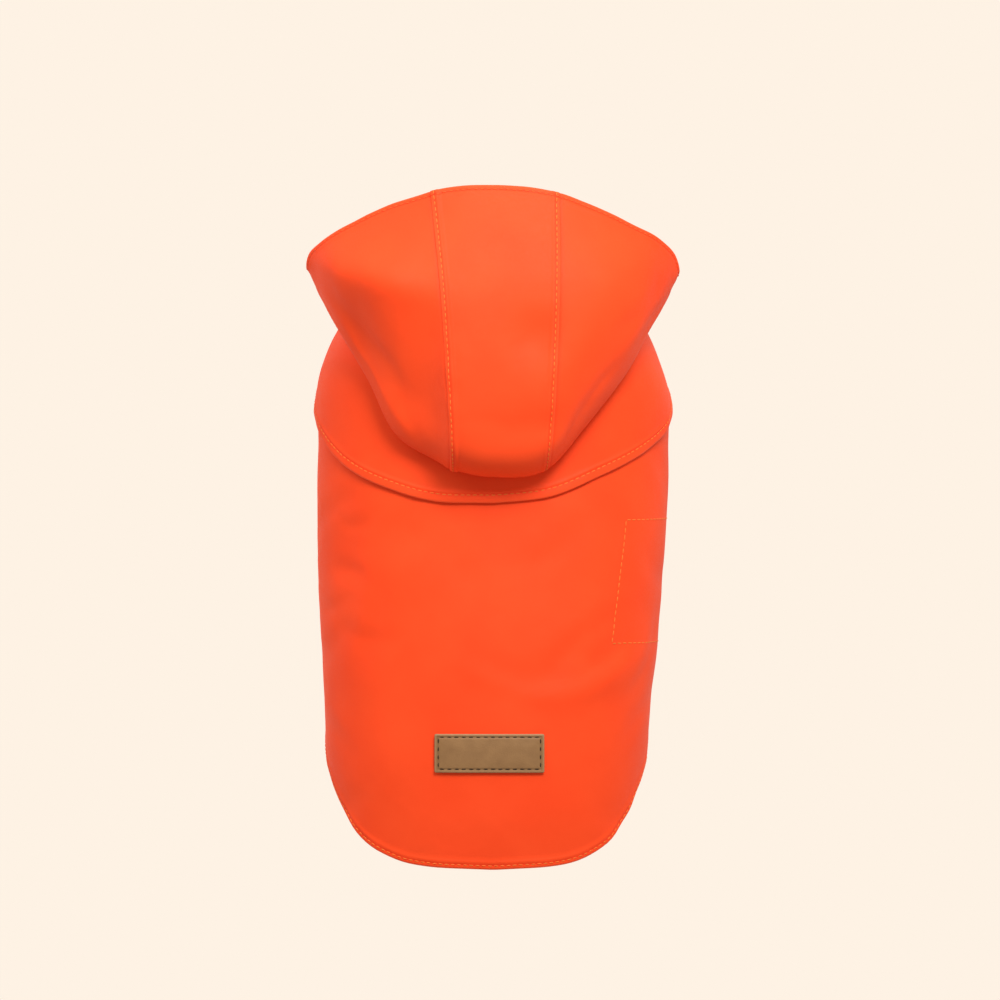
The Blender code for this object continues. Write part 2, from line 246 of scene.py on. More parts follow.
# %% Creases
Crease = namedtuple("Crease", "x y z toward length width bend rise")
BODY_CREASES = [
    Crease(-62, -34, -8, (0.3, 1.0, 0.2), 26, 5.5, 4, -0.55),
    Crease(-67, 17, -17, (1.0, 0.2, 0.6), 12, 4.2, 2, -0.55),
    Crease(-73, -6, -22, (1.0, -0.3, 0.8), 15, 4.8, -2, -0.65),
    Crease(-80, -24, -32, (0.8, 0.3, 1.0), 14, 4.0, 2, -0.55),
    Crease(-64, -40, -14, (1.0, -0.2, 0.5), 18, 5.2, 3, -0.5),
    Crease(34, -68, -3, (1.0, 0.1, -0.2), 42, 5.5, 15, 0.6),
    Crease(60, -49, -10, (1.0, 0.5, -0.4), 15, 7.0, 3, -0.7),
    Crease(-79, 24, -38, (0.1, 0.5, 1.0), 22, 5.0, -3, -0.6),
    Crease(-82, -46, -40, (-0.1, 0.35, 1.0), 23, 6.5, 5, -0.7),
    Crease(-80, -84, -42, (0.0, -0.3, 1.0), 18, 5.0, -4, -0.5),
    Crease(-84, 8, -90, (0.0, 1.0, 0.2), 29, 5.5, 3, -0.7),
    Crease(-81, -52, -86, (0.0, 1.0, -0.3), 20, 5.0, -3, -0.6),
    Crease(-66, -126, -40, (0.5, 0.6, 0.8), 27, 6.0, 3, -0.6),
    Crease(48, -38, -4, (1.0, 0.75, -0.4), 30, 5.5, -5, -0.5),
    Crease(80, -48, -38, (0.2, 0.9, -0.5), 24, 5.0, 4, -0.6),
    Crease(86, -8, -42, (0.0, 0.3, 1.0), 23, 6.0, -5, -0.7),
    Crease(78, -74, -40, (0.1, -0.5, 1.0), 19, 5.0, 3, -0.5),
    Crease(84, -22, -91, (0.0, 1.0, -0.2), 32, 5.5, -4, -0.7),
    Crease(85, 30, -88, (0.0, 1.0, 0.3), 18, 5.0, 3, -0.55),
    Crease(58, -132, -34, (-0.6, 0.5, 0.7), 22, 5.5, -3, -0.5),
    Crease(86, 44, -40, (0.0, 0.8, 0.9), 22, 5.5, 4, -0.5),
    Crease(14, -62, 0, (0.9, 0.35, 0.0), 34, 8.0, 6, -0.35),
    Crease(-28, 4, 0, (0.8, -0.5, 0.0), 30, 8.0, -5, -0.3),
    Crease(34, 6, -2, (0.7, 0.6, -0.2), 22, 6.0, 4, -0.35),
    Crease(-30, 112, -92, (0.8, 0.3, -0.6), 26, 5.0, 4, -0.7),
    Crease(34, 104, -104, (-0.9, 0.2, -0.3), 22, 5.0, -4, -0.6),
]
HOOD_CREASES = [
    Crease(-52, 78, 28, (-0.5, 1.0, 0.0), 26, 6.0, 6, -0.8),
    Crease(-70, 118, 10, (-0.2, 1.0, -0.5), 22, 5.5, -4, -0.7),
    Crease(54, 74, 26, (0.6, 0.9, 0.0), 24, 6.0, -5, -0.9),
    Crease(74, 126, 8, (0.4, 0.8, -0.7), 20, 5.0, 4, -0.6),
    Crease(-84, 140, -34, (0.1, 0.8, 1.0), 20, 4.5, 3, -0.6),
    Crease(84, 142, -36, (-0.1, 0.7, 1.0), 18, 4.5, -3, -0.6),
    Crease(-40, 160, -76, (1.0, 0.2, -0.3), 24, 5.0, 4, -0.7),
    Crease(46, 162, -74, (1.0, -0.2, 0.4), 21, 5.0, -4, -0.6),
]
CREASE_REACH = 26      # a crease doesn't mark a layer that lies this far above or below it
RIDGE_PLACE, RIDGE_SHARE = 1.7, 0.32    # the ridge beside a crease, in widths and in depths of it


def crease_relief(creases, points, normals):
    """How far the creases move the cloth, at points in space."""
    height = np.zeros(points.shape[:-1])
    for crease in creases:
        offset = points - np.array([crease.x, crease.y, crease.z])
        toward = unit(np.array(crease.toward, float))
        along = offset @ toward
        beside = np.einsum("...k,...k", offset, unit(np.cross(normals, toward)))
        depth = np.einsum("...k,...k", offset, normals)
        near = np.exp(-((along / crease.length) ** 4) - (depth / CREASE_REACH) ** 4)
        share = (beside - crease.bend * (along / crease.length) ** 2) / crease.width
        ridge = RIDGE_SHARE * np.exp(-((share - RIDGE_PLACE) ** 2))
        height += crease.rise * near * (np.exp(-(share**2)) - ridge)
    return height


print("creases:", len(BODY_CREASES), "on the body,", len(HOOD_CREASES), "on the hood")

# %% [markdown]
# Even between its creases no cloth is perfectly smooth. A displacement modifier could add that to
# a finished mesh, but the stitches and the label wouldn't follow it. So a few slow waves with
# random headings are a part of the form itself.

# %% Unevenness
WAVES = 6
PITCH_SPREAD = (0.7, 1.7)


def unevenness(points, size, height, seed):
    """Slow, irregular waves, so that no stretch of cloth is perfectly smooth."""
    total = np.zeros(points.shape[:-1])
    random = np.random.default_rng(seed)
    for wave in range(WAVES):
        toward = unit(random.normal(size=3))
        pitch = size * random.uniform(*PITCH_SPREAD)
        total += np.sin(points @ toward * (2 * math.pi / pitch) + random.uniform(0, 2 * math.pi))
    return total * height / WAVES


origin = np.zeros((1, 3))
print("unevenness at the origin:", unevenness(origin, size=62, height=0.4, seed=3).round(2))

# %% [markdown]
# ## The general figure
#
# A coat's shape comes from its cut, on a plain barrel with a neck. Each row of the table is one
# section across it: where it stands along the spine, how wide it is to the left and right, how
# deep, and how far it leans back towards the neck. A modelled torso would say more than the coat
# does, so the figure has no other anatomy.

# %% Sections of the trunk
CLOTH = 1.2                    # wall of the solids, which the figure's sections lie inside
ROUNDNESS = 2.4                # 2 would be an ellipse, and more is squarer
NECK_Y, NECK_TILT = 135.0, 33.0

Section = namedtuple("Section", "place y z left right half_height tilt")
TRUNK = [
    Section("past the tail", -175, -76.5, 80.0, 71.8, 60.0, 0),
    Section("tail", -150, -71.0, 81.7, 74.0, 61.5, 0),
    Section("hip", -115, -68.0, 83.4, 76.2, 63.5, 0),
    Section("loin", -70, -66.2, 85.5, 80.0, 65.2, 0),
    Section("waist", -20, -66.0, 88.2, 84.9, 66.0, 0),
    Section("ribs", 20, -66.0, 89.0, 88.0, 66.0, 0),
    Section("withers", 55, -65.5, 88.7, 88.6, 66.0, 0),
    Section("shoulder", 78, -63.5, 88.3, 88.4, 65.5, 4),
    Section("shoulder front", 97, -58.5, 84.5, 83.2, 63.5, 11),
    Section("chest", 115, -50.0, 75.0, 74.0, 60.5, 20),
    Section("neck base", 127, -41.0, 62.0, 62.0, 57.5, 28),
    Section("neck seam", NECK_Y, -32.0, 52.0, 52.0, 55.0, NECK_TILT),
    Section("past the neck", 145, -25.0, 47.0, 47.0, 53.0, 36),
]
TRUNK_Y = [section.y for section in TRUNK]
TRUNK_SIZES = [(s.z, s.left, s.right, s.half_height, s.tilt) for s in TRUNK]
print(len(TRUNK), "sections of the trunk")

# %% [markdown]
# Each section is a little squarer than an ellipse. A loft could skin the sections, but cloth has
# to be laid on the figure at a given angle and place. So the surface is a formula: a place, its
# normal, measured over a small step to each side, and the relief added along that normal.

# %% The trunk's surface
PROBE = 0.5                   # half the step, in degrees or mm, that a slope is measured over


def bare_trunk(angle, y):
    """Points on the figure, at angles from the spine, + to the right."""
    z, left, right, half_height, tilt = through(TRUNK_Y, TRUNK_SIZES, y).T
    turn, lean = np.radians(angle), np.radians(tilt)
    across = np.where(np.sin(turn) > 0, right, left) * power(np.sin(turn), 2 / ROUNDNESS)
    up = half_height * power(np.cos(turn), 2 / ROUNDNESS)
    return np.stack([across, y - up * np.sin(lean), z + up * np.cos(lean) + CLOTH], axis=-1)


def trunk(angle, y, lift=0.0):
    """The back panel's outer face, moved out by lift, for arrays of angles and places."""
    angle, y, lift = np.broadcast_arrays(np.asarray(angle, float), np.asarray(y, float), lift)
    shape, angle, y, lift = angle.shape, angle.ravel(), y.ravel(), lift.ravel()
    here = bare_trunk(angle, y)
    around = bare_trunk(angle + PROBE, y) - bare_trunk(angle - PROBE, y)
    forward = bare_trunk(angle, y + PROBE) - bare_trunk(angle, y - PROBE)
    normal = unit(np.cross(around, forward))
    relief = plan_relief(BODY_SWELLS, here) * (np.abs(angle) < 90)
    relief = relief + crease_relief(BODY_CREASES, here, normal)
    relief = relief + unevenness(here, size=62, height=0.4, seed=3)
    relief = relief + unevenness(here, size=30, height=0.3, seed=12)
    return (here + normal * (lift + relief)[:, None]).reshape(shape + (3,))


print("places on the spine:", trunk(0, [-100, 0, 100]).round(1).tolist())

# %% [markdown]
# ## A cut of cloth
#
# Every piece starts as a flat grid, like cloth on the cutting table. An even grid fine enough for
# a stitch line would be far too heavy. So its rows are spaced by real distances from the cut
# edges, close together where a hem is turned and stitched and wide apart between.

# %% Rows at real distances
ROLL_ROWS = [0, 0.25, 0.55, 0.95]       # down the rolled edge itself
STITCH_ROWS = 0.45 * np.arange(-2, 3)   # about the stitch line
STEP_ROWS = 0.5 * np.arange(-1, 2)      # about the step at the end of the doubled cloth
WIDE = 1.3                              # rows further apart than this get one more between


def hem_rows(stitch, width):
    """Row places that a rolled edge, its stitch line and the step of the doubled cloth need."""
    places = np.unique(np.concatenate([ROLL_ROWS, stitch + STITCH_ROWS, width + STEP_ROWS]))
    wide = np.diff(places) > WIDE
    return np.sort(np.concatenate([places, (places[:-1] + places[1:])[wide] / 2]))


def relay(points, start, end, count):
    """Moves the rows to real distances from both ends, with count more between them."""
    down = lengths(points)
    laid = np.empty((len(start) + count + len(end),) + points.shape[1:])
    for k in range(points.shape[1]):
        total = down[-1, k]
        inner = np.linspace(start[-1], total - end[-1], count + 2)[1:-1]
        places = np.concatenate([start, inner, total - end[::-1]])
        laid[:, k] = through(down[:, k], points[:, k], places)
    return laid


def relay_across(points, start, end, count):
    """The same for the columns, from left to right."""
    return relay(points.swapaxes(0, 1), start, end, count).swapaxes(0, 1)


RAW = np.array([0, 1.0])       # rows at an edge that has no hem of its own
FELL_STITCH, FELL_WIDTH = 2.2, 4.2
SEAM_ROWS = hem_rows(FELL_STITCH, FELL_WIDTH)
print("rows at a seam:", SEAM_ROWS.round(2).tolist())

# %% [markdown]
# A turned hem is doubled cloth with a rolled edge and a row of stitches that pulls it in and
# makes it pucker a little. A bump map would shade such a hem but leave its edge thin and straight.
# So the cut's own points are moved. The distance of each point from each edge tells where the hem
# and the stitches go, and a measure of painted light goes along, which the material reads later:
# a painted highlight on the rolled edge and painted shade in the stitch line and beside seams.

# %% Cut
STITCH_PITCH = 3.1
SINGLE = 0.55                  # wall of single cloth, as a share of the doubled hem's
WALL = 1.1
SLANT_REACH = 30               # past this distance from an edge, its slant to the rows is left out
ROLL_WIDTH, ROLL_DEPTH = 0.95, 0.6
STEP_WIDTH = 0.9
PULL_WIDTH, PULL_DEPTH = 0.55, 0.2
PUCKER, PUCKER_REACH = 0.11, 1.5        # its height, and its reach in widths of the hem
# Width of the painted highlight on a rolled edge, and strength of the painted shade in grooves.
EDGE_HIGHLIGHT_WIDTH, GROOVE_SHADE = 0.7, 0.8
# Reach of the painted shade beside a tucked seam, in widths of the tuck.
TUCK_SHADE_REACH = 0.8


class Cut:
    """A grid of cloth on its form: points[j][i], j from rear to front and i from left to right."""

    def __init__(self, points):
        self.points = points
        self.doubled = np.full(points.shape[:2], SINGLE)
        # Painted light of each point: above 0 a painted highlight, below 0 painted shade.
        self.painted_light = np.zeros(points.shape[:2])
        self.measure()

    def measure(self):
        """Normals, and how far each point is along and from each edge."""
        points = self.points
        self.normals = unit(np.cross(np.gradient(points, axis=1), np.gradient(points, axis=0)))
        down, over = lengths(points), lengths(points.swapaxes(0, 1)).T
        self.along = {"rear": over, "front": over, "left": down, "right": down}
        self.off = {
            "rear": self.square(down, points[0], points[1]),
            "front": self.square(down[-1:] - down, points[-1], points[-2]),
            "left": self.square(over.T, points[:, 0], points[:, 1]).T,
            "right": self.square((over[:, -1:] - over).T, points[:, -1], points[:, -2]).T,
        }

    @staticmethod
    def square(distance, edge, inner):
        """Distances measured along the rows, made square to the edge for the places near it."""
        heading = unit(np.gradient(edge, axis=0))
        sine = np.linalg.norm(np.cross(heading, unit(inner - edge)), axis=-1)
        return distance * (sine + (1 - sine) * ease(distance / SLANT_REACH))

    def lift(self, height):
        """Moves the cloth out along its own normals."""
        self.points = self.points + self.normals * height[..., None]

    def hem(self, edge, stitch, width, rise=0.3):
        """The turned and stitched hem of one edge."""
        off, along = self.off[edge], self.along[edge]
        band = ease((width - off) / STEP_WIDTH + 0.5)
        rolled = -ROLL_DEPTH * np.clip(1 - off / ROLL_WIDTH, 0, 1) ** 2
        near = np.exp(-(((off - stitch) / PULL_WIDTH) ** 2))
        pull = -PULL_DEPTH * near * (1 + 0.5 * np.cos(along * 2 * math.pi / STITCH_PITCH))
        # Two waves whose lengths drift, so that the puckers never repeat.
        slow = np.sin(along / 4.3 + 2.2 * np.sin(along / 19))
        quick = 0.6 * np.sin(along / 2.6 + np.sin(along / 31))
        pucker = PUCKER * np.exp(-((off / (width * PUCKER_REACH)) ** 2)) * (slow + quick)
        self.lift(rise * band + rolled + pull + pucker)
        self.doubled = np.maximum(self.doubled, SINGLE + (1 - SINGLE) * band)
        # A painted highlight on the rolled edge and painted shade in the stitch line.
        self.painted_light = self.painted_light + np.exp(-((off / EDGE_HIGHLIGHT_WIDTH) ** 2)) - GROOVE_SHADE * near

    def tuck(self, edge, width, depth):
        """An edge that runs under its neighbour, or that is drawn into a plain seam."""
        off = self.off[edge]
        self.lift(-depth * ease((width - off) / width))
        # Painted shade along the seam, where the edge runs under its neighbour.
        self.painted_light = self.painted_light - GROOVE_SHADE * np.exp(-((off / (TUCK_SHADE_REACH * width)) ** 2))

    def line(self, edge, distance, inside=False):
        """Points and normals of a line drawn at a distance inside one edge, on either face."""
        layers = [self.off[edge], self.points, self.normals, self.doubled * WALL]
        if edge in ("rear", "front"):
            layers = [layer.swapaxes(0, 1) for layer in layers]
        if edge in ("front", "right"):
            layers = [layer[:, ::-1] for layer in layers]
        off, points, normals, wall = layers
        places, outward = [], []
        for k in range(len(off)):
            n = int(np.clip(np.searchsorted(off[k], distance), 1, off.shape[1] - 1))
            share = (distance - off[k][n - 1]) / max(off[k][n] - off[k][n - 1], 1e-9)
            normal = unit(normals[k][n - 1] * (1 - share) + normals[k][n] * share)
            place = points[k][n - 1] * (1 - share) + points[k][n] * share
            places.append(place - normal * wall[k][n] * inside)
            outward.append(-normal if inside else normal)
        return np.array(places), np.array(outward)

    def area(self):
        """Cloth area in square metres."""
        side, long = np.diff(self.points, axis=1)[:-1], np.diff(self.points, axis=0)[:, :-1]
        return float(np.linalg.norm(np.cross(side, long), axis=2).sum()) * MM * MM

    def spread(self):
        """Greatest width and length of the cut along its own rows, in metres."""
        over, down = self.along["rear"][:, -1].max(), self.along["left"][-1].max()
        return round(float(over) * MM, 3), round(float(down) * MM, 3)


FACES = (False, True)          # a hem's stitches show outside and inside
print("wall", WALL, "mm where doubled,", round(WALL * SINGLE, 2), "mm where single")

# %% [markdown]
# ## Materials
#
# A Principled BSDF gives every finish here, with nodes for its colour, its gloss and its fine
# relief. A picture of cloth would show its pixels from close by, and procedural patterns don't.
# The next cells hold the few groups of nodes that the finishes share.

# %% Node helpers


def fresh_material(name, colour, roughness):
    """A new material, its node tree and its shader."""
    material = bpy.data.materials.new(name)
    material.use_nodes = True
    shader = material.node_tree.nodes["Principled BSDF"]
    shader.inputs["Base Color"].default_value = (*colour, 1)
    shader.inputs["Roughness"].default_value = roughness
    return material, material.node_tree, shader


def add(tree, kind, values=None, links=None, settings=None):
    """Adds a node, sets its sockets and links others into it."""
    node = tree.nodes.new("ShaderNode" + kind)
    for name, value in (settings or {}).items():
        setattr(node, name, value)
    for name, value in (values or {}).items():
        node.inputs[name].default_value = value
    for name, socket in (links or {}).items():
        tree.links.new(socket, node.inputs[name])
    return node


def ramp(tree, value, start, end, top=1.0, bottom=0.0):
    """A value that goes from bottom to top while the input goes from start to end."""
    settings = {"From Min": start, "From Max": end, "To Min": bottom, "To Max": top}
    return add(tree, "MapRange", settings, {"Value": value}).outputs[0]


def bump(tree, height, distance, strength, before=None):
    """A bump on top of another one."""
    node = add(tree, "Bump", {"Distance": distance, "Strength": strength}, {"Height": height})
    if before:
        tree.links.new(before.outputs["Normal"], node.inputs["Normal"])
    return node


# %% [markdown]
# Three patterns serve all the finishes: crossed bands for a weave, noise for mottling and grain,
# and painted light: a painted highlight on edges and painted shade in grooves. Such marks are often
# painted by hand or found from the mesh's corners. Here each cut knows how far its points lie from
# their hems and stitches, so the painted light is measured and only read here.

# %% Patterns
WAVE_PITCH = 2 * math.pi / 20           # length of one band of a Wave Texture at a scale of 1


def weave(tree, coordinates, pitch):
    """Two crossed bands, one for the warp and one for the weft. Pitch in units of the UV map."""
    scale = WAVE_PITCH / pitch
    warp = add(tree, "TexWave", {"Scale": scale}, {"Vector": coordinates}, {"bands_direction": "X"})
    weft = add(tree, "TexWave", {"Scale": scale}, {"Vector": coordinates}, {"bands_direction": "Y"})
    both = {0: warp.outputs["Fac"], 1: weft.outputs["Fac"]}
    return add(tree, "Math", {}, both, {"operation": "ADD"}).outputs[0]


def blend_colour(tree, factor, first, second):
    """Mixes two colours, each a socket or a fixed value."""
    mix = tree.nodes.new("ShaderNodeMix")
    mix.data_type = "RGBA"
    tree.links.new(factor, mix.inputs["Factor"])
    for name, colour in (("A", first), ("B", second)):
        socket = [s for s in mix.inputs if s.name == name and s.type == "RGBA"][0]
        if isinstance(colour, tuple):
            socket.default_value = (*colour, 1)
        else:
            tree.links.new(colour, socket)
    return [s for s in mix.outputs if s.type == "RGBA"][0]


def noise(tree, scale, detail=2.0, distortion=0.0):
    """Noise in the coat's own space, in which 1 is a metre."""
    place = add(tree, "TexCoord").outputs["Object"]
    values = {"Scale": scale, "Detail": detail, "Distortion": distortion}
    return add(tree, "TexNoise", values, {"Vector": place}).outputs["Fac"]


def painted_light_colour(tree, colour, highlight_colour, edge, shade_colour, groove):
    """Painted highlight on rolled edges and painted shade in stitch lines, by the cut's own
    measure.
    """
    painted_light = add(tree, "Attribute", settings={"attribute_name": "painted_light"}).outputs["Fac"]
    colour = blend_colour(tree, ramp(tree, painted_light, 0.0, 1.0, edge), colour, highlight_colour)
    deepest_shade = ramp(tree, painted_light, 0.0, -GROOVE_SHADE, groove)
    return blend_colour(tree, deepest_shade, colour, shade_colour)


print("one band at a scale of 1:", round(WAVE_PITCH, 3))

# %% [markdown]
# The coat is a woven cloth with a matte coating: a clean, saturated orange with very little gloss,
# with a painted highlight on its rolled edges and painted shade in its stitch lines and seams. What
# gloss it has shows where its sides turn away to the low lamp. A wide bump crumples it, a fine one
# gives the coating its grain, and the weave shows through faintly. The weave follows the cut's own
# UV map, where 1 stands for 100 mm, because it runs along the cloth and not through space.

# %% Rain cloth, coated face
ORANGE = (0.975, 0.088, 0.022)
ORANGE_LIGHT, ORANGE_DARK = (0.985, 0.076, 0.014), (0.955, 0.066, 0.011)
# Colours of the painted highlight on rolled edges and the painted shade in stitch lines and seams.
ORANGE_EDGE_HIGHLIGHT, ORANGE_GROOVE_SHADE = (1.0, 0.13, 0.04), (0.80, 0.026, 0.005)


def coated_cloth():
    material, tree, shader = fresh_material("rain_cloth_coated", ORANGE, 0.55)
    uv = add(tree, "UVMap", settings={"uv_map": "cut"}).outputs[0]
    mottle, grain, crumple = noise(tree, 26.0, 3.0), noise(tree, 900.0), noise(tree, 55.0, 2.0, 0.6)
    cloth = blend_colour(tree, ramp(tree, mottle, 0.35, 0.65), ORANGE_DARK, ORANGE_LIGHT)
    # Painted highlight on rolled edges, painted shade in stitch lines and seams.
    cloth = painted_light_colour(tree, cloth, ORANGE_EDGE_HIGHLIGHT, 0.5, ORANGE_GROOVE_SHADE, 0.45)
    tree.links.new(cloth, shader.inputs["Base Color"])
    tree.links.new(ramp(tree, grain, 0.3, 0.7, 0.66, 0.54), shader.inputs["Roughness"])
    crumpled = bump(tree, crumple, 0.0009, 0.35)
    grained = bump(tree, grain, 0.00006, 0.5, crumpled)
    woven = bump(tree, weave(tree, uv, 0.0042), 0.00003, 0.5, grained)
    tree.links.new(woven.outputs["Normal"], shader.inputs["Normal"])
    shader.inputs["Specular IOR Level"].default_value = 0.18
    return material


COATED = coated_cloth()
print("outside of the cloth:", COATED.name)

# %% [markdown]
# The back of the cloth has no coating. It is the bare weave, paler and duller, with slubs in its
# yarn and a soft nap, which sheen gives at once where tiny hairs would be far too many.

# %% Rain cloth, uncoated face
INSIDE_ORANGE = (0.80, 0.105, 0.045)
INSIDE_LIGHT, INSIDE_DARK = (0.90, 0.135, 0.060), (0.70, 0.080, 0.033)


def uncoated_cloth():
    material, tree, shader = fresh_material("rain_cloth_inside", INSIDE_ORANGE, 0.85)
    uv = add(tree, "UVMap", settings={"uv_map": "cut"}).outputs[0]
    slub = noise(tree, 420.0, 3.0)
    tree.links.new(blend_colour(tree, slub, INSIDE_DARK, INSIDE_LIGHT), shader.inputs["Base Color"])
    woven = bump(tree, weave(tree, uv, 0.0048), 0.00008, 0.7, bump(tree, slub, 0.0001, 0.5))
    tree.links.new(woven.outputs["Normal"], shader.inputs["Normal"])
    shader.inputs["Sheen Weight"].default_value = 0.2
    return material


INSIDE = uncoated_cloth()
print("inside of the cloth:", INSIDE.name)

# %% [markdown]
# Thread is a shade lighter than the cloth on hems and seams, nearly the cloth's own colour at the
# hood's rim, and dark brown on the label. A noise finer than the thread is thick stands in for its
# twisted fibres, which are too small to model.

# %% Thread
FIBRE_SHADE = 0.72


def thread_material(name, colour):
    material, tree, shader = fresh_material(name, colour, 0.6)
    fibre = noise(tree, 2600.0)
    dark = tuple(FIBRE_SHADE * c for c in colour)
    tree.links.new(blend_colour(tree, fibre, dark, colour), shader.inputs["Base Color"])
    tree.links.new(bump(tree, fibre, 0.00008, 0.5).outputs["Normal"], shader.inputs["Normal"])
    shader.inputs["Specular IOR Level"].default_value = 0.2
    return material


ORANGE_THREAD = thread_material("orange_thread", (1.0, 0.215, 0.038))
RIM_THREAD = thread_material("rim_thread", (0.99, 0.125, 0.026))
BROWN_THREAD = thread_material("brown_thread", (0.050, 0.026, 0.012))
print("threads:", [thread.name for thread in (ORANGE_THREAD, RIM_THREAD, BROWN_THREAD)])

# %% [markdown]
# ## Sewing
#
# A mesh could be written out point by point, with every face listed. The grid operator of bmesh
# makes the flat piece with all its faces at once, and each point is then laid on the form. The
# painted highlight and painted shade go along as an attribute, the doubled hems as weights for
# the wall, and the distances over the cloth as a UV map, so that the weave keeps its pitch.

# %% Flat grid, laid on the form
UV_LENGTH = 100                # mm of cloth that 1 in the UV map stands for


def lay_grid(cut, name):
    """A mesh of the cut's own size, with its flat cut as a UV map."""
    rows, columns = cut.points.shape[:2]
    bm = bmesh.new()
    bmesh.ops.create_grid(bm, x_segments=columns - 1, y_segments=rows - 1, size=0.5)
    doubled = bm.verts.layers.deform.verify()
    # Each point's painted highlight and painted shade, for the material to read.
    painted_light = bm.verts.layers.float.new("painted_light")
    flat = bm.loops.layers.uv.new("cut")
    over = cut.along["rear"] - cut.along["rear"][:, -1:] / 2
    down = cut.along["left"]
    places = {}
    for vertex in bm.verts:
        i = round((vertex.co.x + 0.5) * (columns - 1))
        j = round((vertex.co.y + 0.5) * (rows - 1))
        places[vertex] = (j, i)
        vertex.co = cut.points[j][i] * MM
        vertex[doubled][0] = float(cut.doubled[j][i])
        vertex[painted_light] = float(cut.painted_light[j][i])
    for face in bm.faces:
        face.smooth = True
        for loop in face.loops:
            j, i = places[loop.vert]
            loop[flat].uv = (over[j][i] / UV_LENGTH, down[j][i] / UV_LENGTH)
    mesh = bpy.data.meshes.new(name)
    bm.to_mesh(mesh)
    bm.free()
    return mesh


# %% [markdown]
# Cloth has two faces and a thin edge. Modelling both faces would double the work, and Solidify
# makes the second one: it thickens the cloth inwards, full where a hem doubles it and thinner
# elsewhere, and gives its inner side the uncoated material.

# %% Wall


def place_piece(name, mesh, materials):
    """An object for a finished mesh, which rides on the coat's one body."""
    piece = bpy.data.objects.new(name, mesh)
    bpy.context.scene.collection.objects.link(piece)
    for material in materials:
        mesh.materials.append(material)
    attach(piece, "root")
    return piece


def sew_piece(name, cut, node, wall=WALL, materials=(COATED, INSIDE)):
    """A cut with its wall, in place of one node of the frame."""
    piece = place_piece(name, lay_grid(cut, name), materials)
    group = piece.vertex_groups.new(name="doubled cloth")
    thicken = piece.modifiers.new("wall", "SOLIDIFY")
    thicken.thickness = wall * MM
    thicken.offset = -1
    thicken.vertex_group = group.name
    thicken.thickness_vertex_group = 0.0
    thicken.material_offset = len(materials) - 1
    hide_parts(node)
    print(name, cut.points.shape[:2], "area", round(cut.area(), 4), "m2, spread", cut.spread())
    return piece


# %% [markdown]
# At this scale a stitch is a short, plump bead of thread. A dashed line in the material would be
# lighter, but it has no height and would not catch the light. So each stitch is a small, coarse
# sphere, stretched along its line and half sunk in the cloth, and one mesh holds all the stitches
# of a piece. Each is set a little unevenly, as a machine does on a thick hem.

# %% Stitches
ThreadSize = namedtuple("ThreadSize", "pitch length width height")
CLOTH_THREAD = ThreadSize(STITCH_PITCH, 2.3, 0.6, 0.5)
SLIP, SKEW, STRETCH = 0.06, 0.03, 0.05  # how unevenly stitches are placed, turned and drawn
PROUD = 0.05                            # how far a stitch's middle stands out of the cloth
HEADING_STEPS = (-0.8, 0, 0.8)

bm = bmesh.new()
bmesh.ops.create_uvsphere(bm, u_segments=6, v_segments=5, radius=1)
for face in bm.faces:
    face.smooth = True
BEAD = bpy.data.meshes.new("bead")
bm.to_mesh(BEAD)
bm.free()
print("faces of a stitch:", len(BEAD.polygons))


def at_distance(down, values, at):
    """Reads off a place, or a normal, at a distance down a line."""
    return np.array([np.interp(at, down, values[:, axis]) for axis in range(3)])


def stitch(name, lines, thread=ORANGE_THREAD, slot="rain_cloth", size=CLOTH_THREAD):
    """Beads of thread a pitch apart along lines, half sunk in the cloth."""
    bm = bmesh.new()
    random = np.random.default_rng(len(name))
    count = 0
    for points, normals in lines:
        down = lengths(points)
        number = max(int(down[-1] / size.pitch), 1)
        for k in range(number):
            at = (k + 0.5) * down[-1] / number + random.normal() * SLIP
            before, here, after = [at_distance(down, points, at + step) for step in HEADING_STEPS]
            normal = unit(at_distance(down, normals, at))
            heading = unit(after - before + random.normal(size=3) * SKEW)
            side = unit(np.cross(normal, heading))
            long = size.length * (1 + STRETCH * random.normal())
            up = np.cross(heading, side)
            axes = [side * size.width / 2, up * size.height / 2, heading * long / 2]
            matrix = Matrix([list(axis * MM) for axis in axes]).transposed().to_4x4()
            matrix.translation = Vector((here + normal * PROUD) * MM)
            bead = BEAD.copy()
            bead.transform(matrix)
            bm.from_mesh(bead)
            bpy.data.meshes.remove(bead)
            count += 1
    mesh = bpy.data.meshes.new(name)
    bm.to_mesh(mesh)
    bm.free()
    print(name, count, "stitches")
    return place_piece(name, mesh, (thread,))


# %% [markdown]
# ## Back panel
#
# One cut covers the back and both flanks. It could be drawn flat and bent round by a lattice, but
# its edge would then land only roughly where it should. So the hem is a table of places on the
# figure, and the grid's columns fan out to it from the neck seam. The first row is then the whole
# curved hem, from one front corner round the tail to the other.

# %% Back panel
PANEL_NECK_ANGLE = 104
BODY_STITCH, BODY_HEM = 2.3, 4.6

HemPoint = namedtuple("HemPoint", "place angle y")
HEM = [
    HemPoint("tail", 0, -155.4),
    HemPoint("tail curve", 26, -152.6),
    HemPoint("tail corner", 46, -143.3),
    HemPoint("hip", 60, -130.5),
    HemPoint("haunch", 74, -114.0),
    HemPoint("flank rise", 90, -96.0),
    HemPoint("rear flank", 106, -73.0),
    HemPoint("flank", 115, -40.0),
    HemPoint("flank front", 118, 2.0),
    HemPoint("front corner", 117, 50.0),
]


